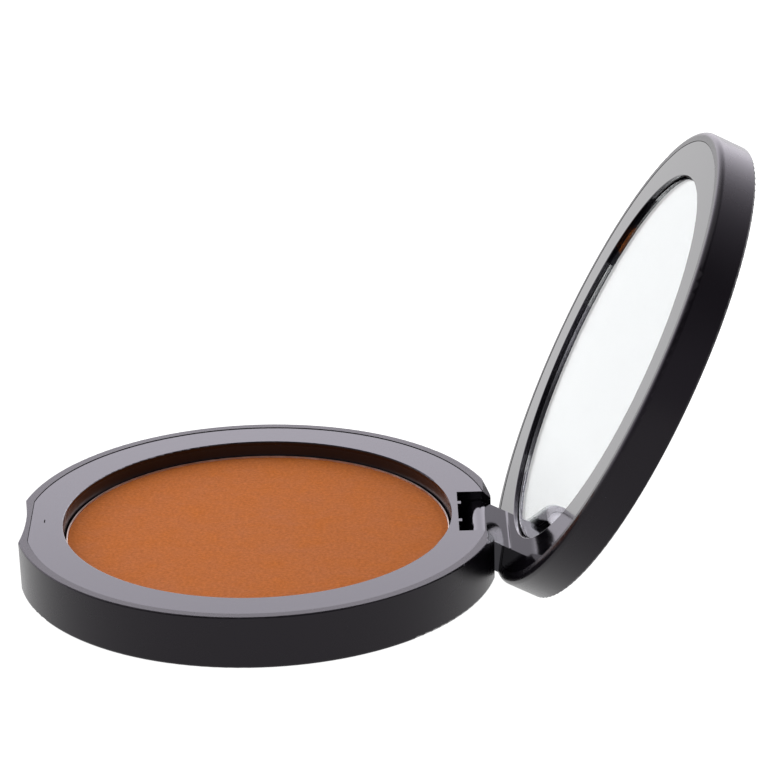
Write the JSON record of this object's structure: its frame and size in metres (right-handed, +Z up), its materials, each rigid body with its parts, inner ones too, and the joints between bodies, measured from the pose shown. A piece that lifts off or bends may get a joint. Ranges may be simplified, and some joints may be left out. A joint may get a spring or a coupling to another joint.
{
  "type": "powder compact",
  "caption": "Round black compact case, open: pressed bronzing powder in a pan in the base, and a hinged lid that carries a round mirror.",
  "frame": {"origin": "centre of the flat underside of the base", "axes": "+Z up out of the powder, +Y from the thumb scoop towards the hinge, X along the hinge pin; the lid stands open, as it is stored"},
  "size_m": [0.075, 0.1121, 0.069],
  "materials": {
    "shell_satin": "satin soft-touch black",
    "frame_gloss": "polished black",
    "pan_metal": "plain pressed metal",
    "powder": "pressed powder with a fine woven emboss",
    "tape": "thin transfer tape",
    "pin_steel": "drawn wire",
    "magnet_nickel": "nickel plated",
    "label_film": "blank film label",
    "lid_satin": "satin soft-touch black",
    "lid_gloss": "polished black",
    "mirror_front": "clear float glass with a ground edge",
    "mirror_back": "silvering",
    "foam_tape": "white foam tape",
    "keeper_steel": "plain steel"
  },
  "bodies": {
    "base": {"base_shell": "shell_satin", "base_frame": "frame_gloss", "powder_pan": "pan_metal", "pressed_powder": "powder", "pan_tape": "tape", "hinge_pin": "pin_steel", "base_magnet": "magnet_nickel", "base_label": "label_film"},
    "lid": {"lid_shell": "lid_satin", "lid_frame": "lid_gloss", "mirror_glass": "mirror_front", "mirror_silver": "mirror_back", "mirror_foam_tape": "foam_tape", "lid_keeper": "keeper_steel"}
  },
  "joints": [
    {"name": "lid_hinge", "type": "hinge", "parent": "base", "child": "lid", "pos_m": [0, 0.03422, 0.00475], "axis": [1, 0, 0], "range_deg": [0, 117.25]}
  ]
}
